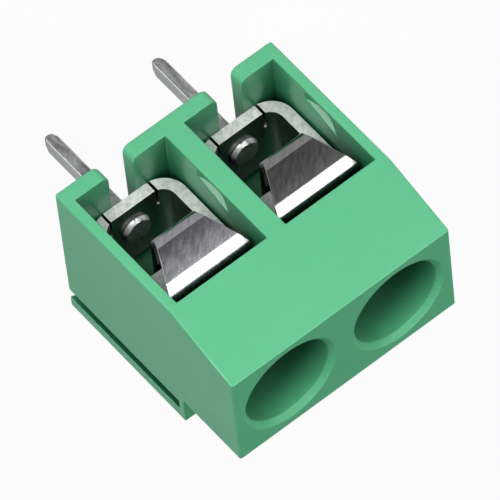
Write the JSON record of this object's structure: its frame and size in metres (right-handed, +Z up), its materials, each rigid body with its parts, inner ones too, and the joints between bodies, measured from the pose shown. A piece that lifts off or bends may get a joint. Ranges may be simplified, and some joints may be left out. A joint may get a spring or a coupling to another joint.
{
  "type": "pcb screw terminal",
  "caption": "Green two-pole screw terminal for a circuit board, with wire entries at the front, screws from above, solder pins below and an interlock rib and groove.",
  "frame": {"origin": "on the seating plane that meets the board, midway between the two solder pins", "axes": "+Z up from the board to the screws, -Y towards the wire entries, +X to the right seen from the wire entries"},
  "size_m": [0.0105, 0.0074, 0.014],
  "materials": {
    "housing": "satin moulded nylon",
    "cage": "tin plated",
    "pin": "tin plated",
    "guard": "nickel plated, smooth",
    "screw": "zinc plated"
  },
  "bodies": {
    "root": {"housing": "housing", "clamp_cage_1": "cage", "clamp_cage_2": "cage", "solder_pin_1": "pin", "solder_pin_2": "pin"},
    "guard_1": {"wire_guard_1": "guard"},
    "guard_2": {"wire_guard_2": "guard"},
    "screw_1": {"clamp_screw_1": "screw"},
    "screw_2": {"clamp_screw_2": "screw"}
  },
  "joints": [
    {"name": "guard_travel_1", "type": "slide", "parent": "root", "child": "guard_1", "axis": [0, 0, -1], "range_m": [0, 0.0016]},
    {"name": "screw_turn_1", "type": "hinge", "parent": "guard_1", "child": "screw_1", "pos_m": [-0.0025, 0, 0.006], "axis": [0, 0, -1], "range_deg": [0, 1279.99]},
    {"name": "guard_travel_2", "type": "slide", "parent": "root", "child": "guard_2", "axis": [0, 0, -1], "range_m": [0, 0.0016]},
    {"name": "screw_turn_2", "type": "hinge", "parent": "guard_2", "child": "screw_2", "pos_m": [0.0025, 0, 0.006], "axis": [0, 0, -1], "range_deg": [0, 1279.99]}
  ],
  "couplings": [
    {"joint": "guard_travel_1", "follows": "screw_turn_1", "m_per_rad": 0.00007162},
    {"joint": "guard_travel_2", "follows": "screw_turn_2", "m_per_rad": 0.00007162}
  ]
}
